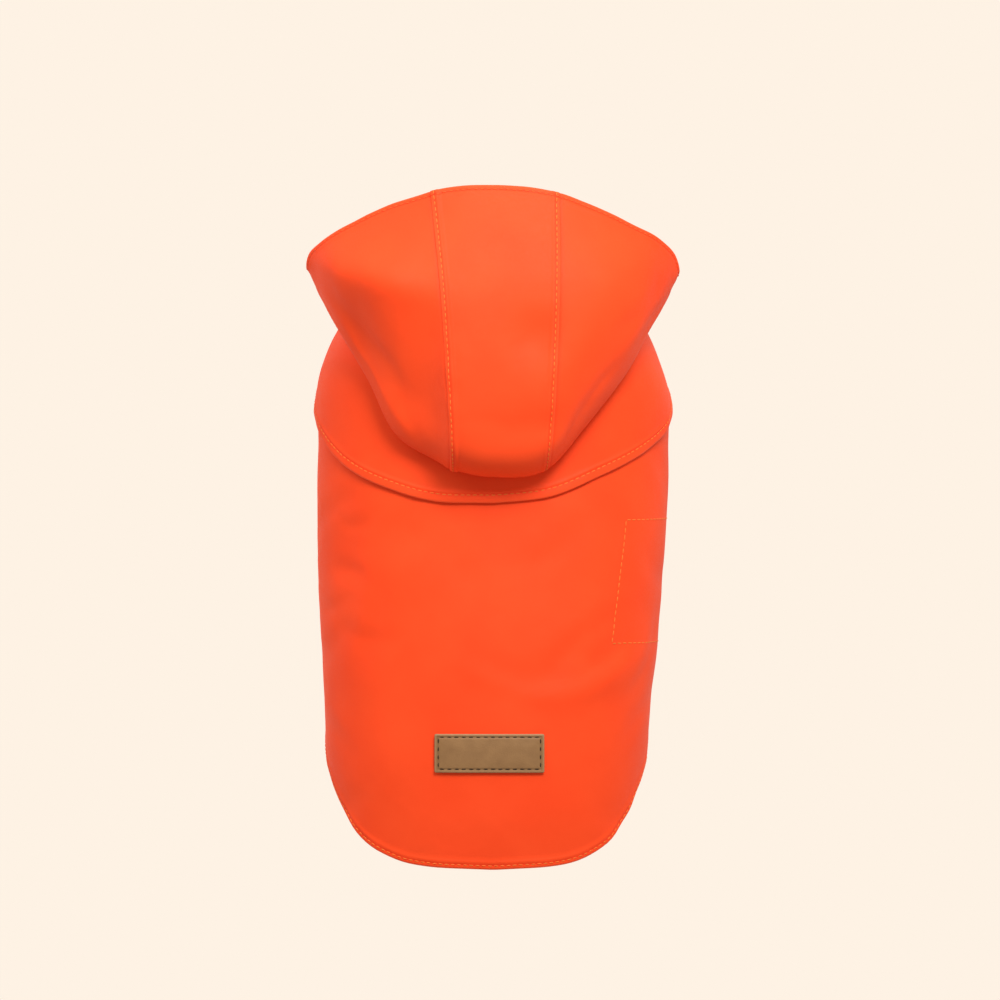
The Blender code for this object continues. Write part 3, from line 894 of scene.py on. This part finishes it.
def back_panel_form(rows=110, columns=130):
    """The panel on the figure, from its whole hem to the neck seam."""
    across = np.linspace(-1, 1, columns + 1)
    places = [(point.angle, point.y) for point in HEM]
    hem_angle, hem_y = through(np.arange(len(HEM)), places, np.abs(across) * (len(HEM) - 1)).T
    share = np.linspace(1, 0, rows + 1)[:, None]
    neck_angle = PANEL_NECK_ANGLE * across
    angle = neck_angle + (np.copysign(hem_angle, across) - neck_angle) * share
    return trunk(angle, NECK_Y + (hem_y - NECK_Y) * share)


edge_rows = hem_rows(BODY_STITCH, BODY_HEM)
panel = relay_across(back_panel_form(), edge_rows, edge_rows, count=150)
back_cut = Cut(relay(panel, edge_rows, RAW, count=125))
for edge in ("rear", "left", "right"):
    back_cut.hem(edge, BODY_STITCH, BODY_HEM)
back_cut.measure()
back_panel = sew_piece("back_panel_cloth", back_cut, "back_panel")
back_hem = [back_cut.line("rear", BODY_STITCH, face) for face in FACES]
back_stitches = stitch("back_panel_stitches", back_hem)

# %% [markdown]
# On the right flank a stitched rectangle holds the end of the belly strap, which is sewn to the
# inside. Only its front left corner shows in the picture: the rest runs on round the flank. Its
# stitches could be placed by the figure's formula alone, but they would float over a crease or
# sink into it. So each line is moved to the nearest place on the finished cloth.

# %% Strap's stitched rectangle
StrapCorner = namedtuple("StrapCorner", "place angle y")
STRAP_BOX = [
    StrapCorner("front flank", 98, 21.0),
    StrapCorner("front", 45.8, 20.0),
    StrapCorner("rear", 42.4, -42.0),
    StrapCorner("rear flank", 98, -41.0),
    StrapCorner("front flank again", 98, 21.0),
]


def surface_of(cut):
    """A search tree of a cut's outer face, to set things on it."""
    rows, columns = cut.points.shape[:2]
    corner = np.arange(rows * columns).reshape(rows, columns)
    faces = np.stack([corner[:-1, :-1], corner[:-1, 1:], corner[1:, 1:], corner[1:, :-1]], axis=-1)
    return BVHTree.FromPolygons(cut.points.reshape(-1, 3).tolist(), faces.reshape(-1, 4).tolist())


def box_lines(corners, tree, steps=40):
    """The sides of a box given by its corners, set on the face that the tree holds."""
    lines = []
    for here, following in zip(corners, corners[1:]):
        share = np.linspace(0, 1, steps)
        angle = here.angle + (following.angle - here.angle) * share
        y = here.y + (following.y - here.y) * share
        found = [tree.find_nearest(Vector(point)) for point in trunk(angle, y)]
        lines.append((np.array([hit[0] for hit in found]), np.array([hit[1] for hit in found])))
    return lines


BOX_THREAD = ThreadSize(3.3, 2.6, 0.72, 0.5)
box_sides = box_lines(STRAP_BOX, surface_of(back_cut))
strap_box = stitch("strap_box_stitches", box_sides, size=BOX_THREAD)

# %% [markdown]
# ## Shoulder cape
#
# A second layer lies over the shoulders. It is sewn into the neck seam, stands a little off the
# back panel at its free hem, and closes at the middle of the chest with a plain seam. A copy of
# the back panel's front end, moved outwards, would be quick, but it would have the wrong hem. So
# the cape is a cut of its own, laid on the same figure one layer further out.

# %% Shoulder cape
LAYER_GAP = 0.5                # between two cloths where they are sewn together
CAPE_STAND = 0.8               # between the cape's free hem and the back panel
CAPE_STITCH, CAPE_HEM_WIDTH = 4.3, 6.0
PLAIN_SEAM = (1.6, 0.9)        # its width and depth
SEAM_TOPSTITCH = 2.6           # from a plain seam to the stitches beside it

CapeEdge = namedtuple("CapeEdge", "angle left_y right_y")
CAPE_HEM = [
    CapeEdge(0, 28.2, 28.2),
    CapeEdge(14, 28.8, 31.0),
    CapeEdge(32, 35.5, 41.0),
    CapeEdge(54, 47.5, 53.5),
    CapeEdge(75, 65.0, 66.5),
    CapeEdge(95, 80.0, 80.0),
    CapeEdge(130, 97.0, 97.0),
    CapeEdge(180, 109.0, 109.0),
]


def cape_form(rows=70, columns=220):
    """The cape on the figure, from its free hem to the neck seam and right round the chest."""
    angle = np.linspace(-180, 180, columns + 1)
    places = [(edge.left_y, edge.right_y) for edge in CAPE_HEM]
    left_y, right_y = through([edge.angle for edge in CAPE_HEM], places, np.abs(angle)).T
    hem_y = np.where(angle > 0, right_y, left_y)
    share = np.linspace(1, 0, rows + 1)[:, None]
    stand = LAYER_GAP + (CAPE_STAND - LAYER_GAP) * share**1.5
    return trunk(angle, NECK_Y + (hem_y - NECK_Y) * share, stand + CLOTH)


cape = relay_across(cape_form(), SEAM_ROWS, SEAM_ROWS, count=250)
cape_cut = Cut(relay(cape, hem_rows(CAPE_STITCH, CAPE_HEM_WIDTH), RAW, count=60))
cape_cut.hem("rear", CAPE_STITCH, CAPE_HEM_WIDTH)
for edge in ("left", "right"):
    cape_cut.tuck(edge, *PLAIN_SEAM)
cape_cut.measure()
cape_piece = sew_piece("shoulder_cape_cloth", cape_cut, "yoke")
cape_lines = [cape_cut.line("rear", CAPE_STITCH, face) for face in FACES]
cape_lines.append(cape_cut.line("left", SEAM_TOPSTITCH))
cape_stitches = stitch("shoulder_cape_stitches", cape_lines)

# %% [markdown]
# ## Hood
#
# The hood has three panels: a gusset from nape to brow and two sides that meet under the chin. It
# lies turned back a little. It could be sculpted, but its seams would then wander over the form.
# So it is a net of meridians. Each runs from the neck seam back over the cape, round a fold and
# forward to the rim, and a table row gives where its fold and rim lie and how high it stands
# between them. A seam simply follows one meridian, and both panels beside it meet there.

# %% Hood tables
Meridian = namedtuple(
    "Meridian", "place angle fold_x fold_y fold_z bow crown_z brow_z rim_x rim_y rim_z"
)
HOOD_LEFT = [
    Meridian("chin", 180, 0, 174, -84, 0, -86, -87, 0, 182, -88),
    Meridian("jaw", 152, 44, 167, -70, 0, -71, -72, 52, 171, -73),
    Meridian("cheek", 127, 74, 151, -48, 0, -47, -47, 85, 155, -47),
    Meridian("corner", 106, 89, 137.5, -25, 0, -23, -21, 94.6, 146.5, -21),
    Meridian("ear", 96, 83.8, 127.0, -14, 0, -9, -9, 92.3, 154.3, -12.5),
    Meridian("temple", 86, 77.6, 116, -7, 0, 1.5, 7.5, 86.3, 159.3, -4),
    Meridian("shoulder", 62, 62, 89, -1, 0, 7.5, 24.5, 71.0, 168.5, 7.5),
    Meridian("crown side", 40, 46.5, 60.5, 4.4, 0, 15.5, 33.0, 52, 177.3, 15),
    Meridian("panel edge", 25, 27.0, 48.7, 7.6, -1.2, 27.5, 35.5, 35.8, 182.4, 18.6),
    Meridian("seam", 21, 21.8, 45.5, 8.4, -1.6, 34.4, 36.4, 31.5, 183.8, 19.5),
    Meridian("gusset edge", 16, 17.0, 44.4, 8.8, -1.2, 35.4, 36.6, 24.0, 185.6, 20.2),
]
SPINE = Meridian("spine", 0, -2.0, 42, 9, 0, 35, 36.6, 0, 187, 20.5)
HOOD_RIGHT = [
    Meridian("seam", 25, 28.0, 46.5, 8.2, 2.0, 33.5, 35, 33.5, 183, 19),
    Meridian("crown side", 42, 45.5, 66.0, 4.4, 1.0, 26.5, 29.5, 54.5, 175.2, 14),
    Meridian("shoulder", 62, 65.0, 91, -1, 0, 17.5, 18.5, 72, 167, 5),
    Meridian("temple", 86, 78.4, 115, -8, 0, 4, 2, 85.4, 159.4, -5.5),
    Meridian("ear", 96, 84.4, 125.5, -15, 0, -9, -9.5, 91.6, 153.3, -13.5),
    Meridian("corner", 106, 89, 136, -25, 0, -23, -21, 94.4, 144.5, -21),
    Meridian("cheek", 127, 74, 151, -48, 0, -47, -47, 85, 154, -47),
    Meridian("jaw", 152, 44, 167, -70, 0, -71, -72, 52, 171, -73),
    Meridian("chin", 180, 0, 174, -84, 0, -86, -87, 0, 182, -88),
]
print(len(HOOD_LEFT) + 1 + len(HOOD_RIGHT), "meridians")

# %% [markdown]
# A meridian needs more places than its row has, or the fold would be a sharp kink. Eight control
# points make a soft roll there: neck seam, turn, underside, fold, roll, crown, brow and rim. The
# hood is turned back fully at the nape and not at all under the chin, and a share that falls from
# 1 to 0 round the neck blends between the two.

# %% Hood's control points
SEAM_GAP = 0.6                 # between the neck seam and the hood's first row
# Where the control points lie between neck, fold and rim.
BROW_SHARE, UNDER_SHARE = 0.66, 0.72
# At the nape, where the hood lies on its fullest roll, and under the chin, where it has none.
CROWN_SHARE, ROLL_SHARE, ROLL_RISE = (0.20, 0.27), (0.045, 0.14), (0.70, 0.50)
FOLD_DROP = 3.6
NECK_TURN = 2.6
TURN_TO_RIM, TURN_FORWARD = 0.06, 0.6   # a share of the way to the rim, and a step along the neck
TURNED_BACK = 1.4              # above 1, the hood stops being turned back before the chin


def neck_ring(angle, lift):
    """A place on the neck seam, moved out square to the neck."""
    near, at = np.array([-PROBE, PROBE]), np.array([angle, angle], float)
    around = np.diff(bare_trunk(at + near, np.full(2, NECK_Y)), axis=0)[0]
    forward = np.diff(bare_trunk(at, NECK_Y + near), axis=0)[0]
    return bare_trunk(at, np.full(2, NECK_Y))[0] + unit(np.cross(around, forward)) * lift


def hood_points(meridian, side):
    """The control points of one meridian, on the left (-1) or the right (+1)."""
    ring = neck_ring(side * meridian.angle, CLOTH)
    tilt = math.radians(NECK_TILT)
    forward = np.array([0, math.cos(tilt), math.sin(tilt)])
    start = ring + forward * SEAM_GAP
    fold = np.array([side * meridian.fold_x, meridian.fold_y, meridian.fold_z])
    rim = np.array([side * meridian.rim_x, meridian.rim_y, meridian.rim_z])
    turned_back = 0.5 + 0.5 * math.cos(math.radians(min(meridian.angle * TURNED_BACK, 180)))
    out = neck_ring(side * meridian.angle, CLOTH + NECK_TURN) - ring
    turn = start + out * turned_back + (rim - start) * TURN_TO_RIM
    turn = turn + forward * TURN_FORWARD * turned_back
    under = turn + (fold - turn) * UNDER_SHARE
    under[2] = under[2] * (1 - turned_back) + (fold[2] - FOLD_DROP) * turned_back
    shares = np.array([CROWN_SHARE, ROLL_SHARE, ROLL_RISE])
    crown_share, roll_share, roll_rise = shares @ [turned_back, 1 - turned_back]
    crown = fold + (rim - fold) * crown_share
    brow = fold + (rim - fold) * BROW_SHARE
    crown[0], crown[2] = crown[0] + side * meridian.bow, meridian.crown_z
    brow[0], brow[2] = brow[0] + side * meridian.bow, meridian.brow_z
    roll = fold + (rim - fold) * roll_share
    roll[0] += side * meridian.bow / 2
    roll[2] = fold[2] + (crown[2] - fold[2]) * roll_rise
    return [start, turn, under, fold, roll, crown, brow, rim]


HOOD_ANGLES = [-m.angle for m in HOOD_LEFT] + [SPINE.angle] + [m.angle for m in HOOD_RIGHT]
HOOD_NET = [hood_points(m, -1) for m in HOOD_LEFT] + [hood_points(SPINE, 1)]
HOOD_NET += [hood_points(m, 1) for m in HOOD_RIGHT]
print("hood net:", np.array(HOOD_NET).shape)

# %% [markdown]
# A smooth curve through the control points is one column of the cloth. With the points evenly
# spaced, such a curve swings out beside the short stretches of the fold. Spaced by the square
# roots of their distances, it stays close to them. Swells lift only what lies past the fold.

# %% Hood form
FOLD_PLACE, RIM_STITCH, RIM_HEM = 3, 2.5, 4.8
HOOD_ROWS = 165


def hood_form(first, last, rows=150, columns=110):
    """The hood's surface between two angles, rows from the neck seam to the rim."""
    number = np.arange(len(HOOD_ANGLES))
    steps = np.linspace(*np.interp([first, last], HOOD_ANGLES, number), columns + 1)
    grid = []
    for controls in through(HOOD_ANGLES, HOOD_NET, np.interp(steps, number, HOOD_ANGLES)):
        stretches = np.sqrt(np.linalg.norm(np.diff(controls, axis=0), axis=1))
        places = np.concatenate([[0], np.cumsum(stretches)])
        at = np.linspace(0, places[-1], rows + 1)
        column = through(places, controls, at)
        column[:, 2] += plan_relief(HOOD_SWELLS, column) * (at >= places[FOLD_PLACE])
        grid.append(column)
    return np.array(grid).swapaxes(0, 1)


def hood_cut(points, count):
    """A panel of the hood with its creases, and hemmed at the rim."""
    across = relay_across(points, SEAM_ROWS, SEAM_ROWS, count)
    cut = Cut(relay(across, RAW, hem_rows(RIM_STITCH, RIM_HEM), HOOD_ROWS))
    creases = crease_relief(HOOD_CREASES, cut.points, cut.normals)
    cut.lift(creases + unevenness(cut.points, size=46, height=0.4, seed=8))
    cut.hem("front", RIM_STITCH, RIM_HEM, rise=0.12)
    return cut


print("middle of the rim:", hood_form(-1, 1, rows=2, columns=2)[-1, 1].round(1))

# %% [markdown]
# The gusset's long edges are turned under and lie on top of the side panels. A row of stitches
# close to the turned edge holds both, so that the seam shows as a low step beside a stitch line.
# One surface with a groove in it would look much the same, but the panels couldn't be taken apart.
# So each side panel runs on a little way under the gusset and is pressed down there.

# %% Hood panels
LEFT_SEAM, RIGHT_SEAM = -21, 25
TUCK_ANGLE, TUCK_WIDTH, TUCK_DEPTH = 1.3, 3.0, 0.45
GUSSET_STEPS = (("left", 0.6), ("right", 0.35))  # how far it rises over each side panel

left_cut = hood_cut(hood_form(-180, LEFT_SEAM + TUCK_ANGLE), count=105)
right_cut = hood_cut(hood_form(RIGHT_SEAM - TUCK_ANGLE, 180), count=105)
gusset_cut = hood_cut(hood_form(LEFT_SEAM, RIGHT_SEAM, columns=50), count=40)
for cut, seam, chin in ((left_cut, "right", "left"), (right_cut, "left", "right")):
    cut.tuck(seam, TUCK_WIDTH, TUCK_DEPTH)
    cut.tuck(chin, *PLAIN_SEAM)
for edge, rise in GUSSET_STEPS:
    gusset_cut.hem(edge, FELL_STITCH, FELL_WIDTH, rise)
# A doubled wall along the seams would run into the side panels, so only the rim is doubled.
rim_band = gusset_cut.off["front"] < RIM_HEM
gusset_cut.doubled = np.where(rim_band, gusset_cut.doubled, SINGLE)
for cut in (left_cut, right_cut, gusset_cut):
    cut.measure()

hood_left = sew_piece("hood_left_cloth", left_cut, "hood_side_left")
hood_right = sew_piece("hood_right_cloth", right_cut, "hood_side_right")
gusset = sew_piece("hood_gusset_cloth", gusset_cut, "hood_gusset")

# %% [markdown]
# A stitch line could be drawn through places picked by eye, and would then wander off its hem when
# the form changes. Each line here is read off a cut at one distance inside its edge, so that it
# always follows. A hem's thread shows on both faces. One more line runs beside the chin seam.

# %% Hood stitches
hood_cuts = (left_cut, right_cut, gusset_cut)
rim_lines = [cut.line("front", RIM_STITCH, face) for cut in hood_cuts for face in FACES]
rim_stitches = stitch("hood_rim_stitches", rim_lines, RIM_THREAD)
fell_edges = [(edge, face) for edge in ("left", "right") for face in FACES]
fell_lines = [gusset_cut.line(edge, FELL_STITCH, face) for edge, face in fell_edges]
fell_lines.append(left_cut.line("left", SEAM_TOPSTITCH))
seam_stitches = stitch("hood_seam_stitches", fell_lines)

# %% [markdown]
# ## Belly strap
#
# The strap is sewn inside the right flank, runs under the belly and closes outside the left flank
# with a hook-and-loop patch, whose stitched square shows near its end. A flat band could be bent
# along a curve, but it would cut through the panel where it passes from inside to outside. Laid
# on the same figure, it lies just under the panel's cloth on the right and just over it on the
# left, and crosses below the belly, where the panel has no cloth.

# %% Belly strap
STRAP_REAR, STRAP_FRONT = -41.0, 19.0
STRAP_SEWN_END, STRAP_FREE_END = 43.0, 257.0     # degrees from the spine, over the right flank
STRAP_CROSSING = (128.0, 230.0)
STRAP_STITCH, STRAP_HEM = 2.4, 4.4
HOOK_PATCH = 34.0


def strap_form(rows=24, columns=200):
    """The strap on the figure, from its sewn end to its free end."""
    angle = np.linspace(STRAP_SEWN_END, STRAP_FREE_END, columns + 1)
    y = np.linspace(STRAP_REAR, STRAP_FRONT, rows + 1)[:, None]
    crossing = ease((angle - STRAP_CROSSING[0]) / (STRAP_CROSSING[1] - STRAP_CROSSING[0]))
    lift = (CLOTH + LAYER_GAP) * (2 * crossing - 1)
    return trunk(np.where(angle < 180, angle, angle - 360), y, lift)


strap_rows = hem_rows(STRAP_STITCH, STRAP_HEM)
strap_across = relay_across(strap_form(), RAW, strap_rows, count=150)
strap_cut = Cut(relay(strap_across, strap_rows, strap_rows, count=20))
for edge in ("rear", "front", "right"):
    strap_cut.hem(edge, STRAP_STITCH, STRAP_HEM)
strap_cut.measure()
strap = sew_piece("belly_strap_cloth", strap_cut, "belly_strap")
strap_lines = [strap_cut.line(edge, STRAP_STITCH) for edge in ("rear", "front", "right")]
strap_lines.append(strap_cut.line("right", HOOK_PATCH))
strap_stitches = stitch("belly_strap_stitches", strap_lines)

# %% [markdown]
# ## Label
#
# A tan leather patch is stitched on near the tail. Its hide is clouded brown with a fine grain of
# pores, with a painted highlight on its rim and painted shade in its groove. A scan of leather
# would bring marks of its own. So noise makes the clouds and a Voronoi texture the pores, which
# are cells with a low middle.

# %% Leather
TAN = (0.215, 0.115, 0.047)
TAN_DARK, TAN_LIGHT = (0.214, 0.108, 0.038), (0.33, 0.178, 0.068)
# Colours of the painted highlight on the rim and the painted shade in the stitch groove.
TAN_EDGE_HIGHLIGHT, TAN_GROOVE_SHADE = (0.44, 0.28, 0.15), (0.08, 0.04, 0.017)


def label_leather():
    material, tree, shader = fresh_material("label_leather", TAN, 0.6)
    place = add(tree, "TexCoord").outputs["Object"]
    cloudy = noise(tree, 160.0, 5.0)
    pores = add(tree, "TexVoronoi", {"Scale": 1500.0}, {"Vector": place}).outputs["Distance"]
    hide = blend_colour(tree, cloudy, TAN_DARK, TAN_LIGHT)
    # Painted highlight on the rim, painted shade in the stitch groove.
    hide = painted_light_colour(tree, hide, TAN_EDGE_HIGHLIGHT, 0.6, TAN_GROOVE_SHADE, 0.2)
    tree.links.new(hide, shader.inputs["Base Color"])
    grained = bump(tree, pores, 0.00008, 0.6, bump(tree, cloudy, 0.0002, 0.5))
    tree.links.new(grained.outputs["Normal"], shader.inputs["Normal"])
    shader.inputs["Specular IOR Level"].default_value = 0.45
    return material


LEATHER = label_leather()
print("leather:", LEATHER.name)

# %% [markdown]
# The patch has square corners, slightly rounded, a face that crowns a little, and a dark stitch
# line that presses a groove inside its rim. It is left bare. A bevelled box would lie stiff on a
# curved back, so the patch is a grid laid on the back like the cloths. Crown, groove and rounded
# edge all follow from how far a point lies inside the rim.

# %% Label patch
LABEL_X, LABEL_Y = -1.8, -96.6
LABEL_LENGTH, LABEL_WIDTH, LABEL_WALL = 54.5, 19.4, 1.3
LABEL_STITCH, LABEL_CORNER = 1.7, 0.8
LABEL_THREAD = ThreadSize(3.5, 2.3, 0.8, 0.45)
CROWN_REACH, CROWN_RISE = 7, 0.28
GROOVE_WIDTH, GROOVE_DEPTH = 0.45, 0.28
ROUND_WIDTH, ROUND_DEPTH = 0.6, 0.35
# Width of the painted highlight on the rim.
LABEL_EDGE_HIGHLIGHT_WIDTH = 0.8


def label_form(rows=60, columns=160):
    """The patch laid on the back from its places seen from above, and their distance to its rim."""
    v = np.linspace(-0.5, 0.5, rows + 1)[:, None] * LABEL_WIDTH
    corner = np.clip(np.abs(v) - (LABEL_WIDTH / 2 - LABEL_CORNER), 0, LABEL_CORNER)
    drawn_in = LABEL_CORNER - np.sqrt(LABEL_CORNER**2 - corner**2)
    u = np.linspace(-1, 1, columns + 1) * (LABEL_LENGTH / 2 - drawn_in)
    x, y = LABEL_X + u, LABEL_Y + v + 0 * u
    sizes = through(TRUNK_Y, TRUNK_SIZES, y.ravel())
    half = np.where(x.ravel() > 0, sizes[:, 2], sizes[:, 1])
    angle = np.degrees(np.arcsin(power(x.ravel() / half, ROUNDNESS / 2)))
    past_x = np.abs(u) - (LABEL_LENGTH / 2 - LABEL_CORNER)
    past_y = np.abs(v) - (LABEL_WIDTH / 2 - LABEL_CORNER) + 0 * u
    round_corner = np.hypot(np.maximum(past_x, 0), np.maximum(past_y, 0))
    beyond = round_corner + np.minimum(np.maximum(past_x, past_y), 0)
    points = trunk(angle.reshape(x.shape), y, LAYER_GAP + LABEL_WALL)
    return points, np.maximum(LABEL_CORNER - beyond, 0)


label_points, inside_edge = label_form()
label_cut = Cut(label_points)
groove = np.exp(-(((inside_edge - LABEL_STITCH) / GROOVE_WIDTH) ** 2))
rounded = ROUND_DEPTH * np.clip(1 - inside_edge / ROUND_WIDTH, 0, 1) ** 2
crown = CROWN_RISE * ease(inside_edge / CROWN_REACH) - rounded
waves = unevenness(label_cut.points, size=9, height=0.05, seed=5)
label_cut.lift(crown - GROOVE_DEPTH * groove + waves)
label_cut.doubled[:] = 1
# Painted highlight on the rounded rim and painted shade in the stitch groove.
label_cut.painted_light = np.exp(-((inside_edge / LABEL_EDGE_HIGHLIGHT_WIDTH) ** 2)) - GROOVE_SHADE * groove
label_cut.measure()
sew_piece("label_patch", label_cut, "label", LABEL_WALL, (LEATHER,))

# %% Label stitches
LABEL_TOP = 30.0               # a height above the whole label, to look down from


def label_lines(steps=30):
    """The stitch line inside the rim, dropped onto the patch from above."""
    long, wide = LABEL_LENGTH / 2 - LABEL_STITCH, LABEL_WIDTH / 2 - LABEL_STITCH
    corners = np.array([(-long, -wide), (long, -wide), (long, wide), (-long, wide), (-long, -wide)])
    tree = surface_of(label_cut)
    share = np.linspace(0, 1, steps)[:, None]
    lines = []
    for here, following in zip(corners, corners[1:]):
        flat = here * (1 - share) + following * share + np.array([LABEL_X, LABEL_Y])
        found = [tree.ray_cast(Vector((*place, LABEL_TOP)), Vector((0, 0, -1))) for place in flat]
        lines.append((np.array([hit[0] for hit in found]), np.array([hit[1] for hit in found])))
    return lines


stitch("label_stitches", label_lines(), BROWN_THREAD, "label_leather", LABEL_THREAD)

# %% [markdown]
# ## The cut of each cloth
#
# A maker needs the flat size of each cloth. Each piece was laid out flat by the distances over
# its cloth, which gives the width and length below, and its area is measured on the finished grid,
# since none of the cuts is a rectangle.

# %% Sheets
SheetCut = namedtuple("SheetCut", "piece cut width length sewn")
SHEETS = [
    SheetCut(back_panel, back_cut, 0.360, 0.305, [back_stitches, strap_box]),
    SheetCut(cape_piece, cape_cut, 0.417, 0.149, [cape_stitches]),
    SheetCut(hood_left, left_cut, 0.151, 0.220, []),
    SheetCut(hood_right, right_cut, 0.145, 0.215, []),
    SheetCut(gusset, gusset_cut, 0.068, 0.240, [rim_stitches, seam_stitches]),
    SheetCut(strap, strap_cut, 0.295, 0.062, [strap_stitches]),
]
for piece, cut, width, length, sewn in SHEETS:
    area = min(cut.area(), width * length)
    print(piece.name, "flat", width, "x", length, "m, area", round(area, 4), "m2")
